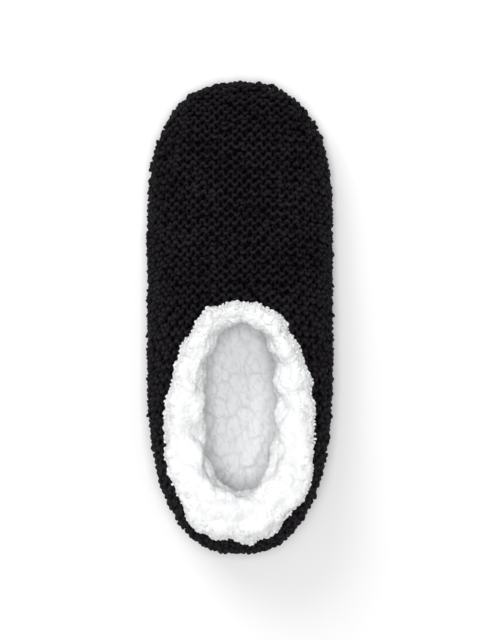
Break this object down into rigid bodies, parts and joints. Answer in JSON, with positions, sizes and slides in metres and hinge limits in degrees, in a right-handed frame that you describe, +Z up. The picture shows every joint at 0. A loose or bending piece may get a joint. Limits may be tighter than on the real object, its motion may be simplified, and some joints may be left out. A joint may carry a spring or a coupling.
{
  "type": "slipper sock",
  "caption": "Knitted garter-stitch slipper sock for an adult's left or right foot, with a deep fleece cuff, a fleece insole and a thin dotted gripper sole.",
  "frame": {"origin": "on the floor, midway along the length and across the width of the whole slipper", "axes": "+Z up, +Y towards the toe, +X to the wearer's right"},
  "size_m": [0.0984, 0.25, 0.0694],
  "materials": {
    "black_yarn": "matte chunky garter-stitch knit",
    "white_fleece": "deep curly pile",
    "sole_cloth": "fine ribbed knit cloth",
    "grip_dots": "glossy moulded dots"
  },
  "bodies": {
    "root": {"knit_upper": "black_yarn", "fleece_cuff": "white_fleece", "fleece_insole": "white_fleece", "gripper_sole": "sole_cloth"}
  },
  "joints": []
}
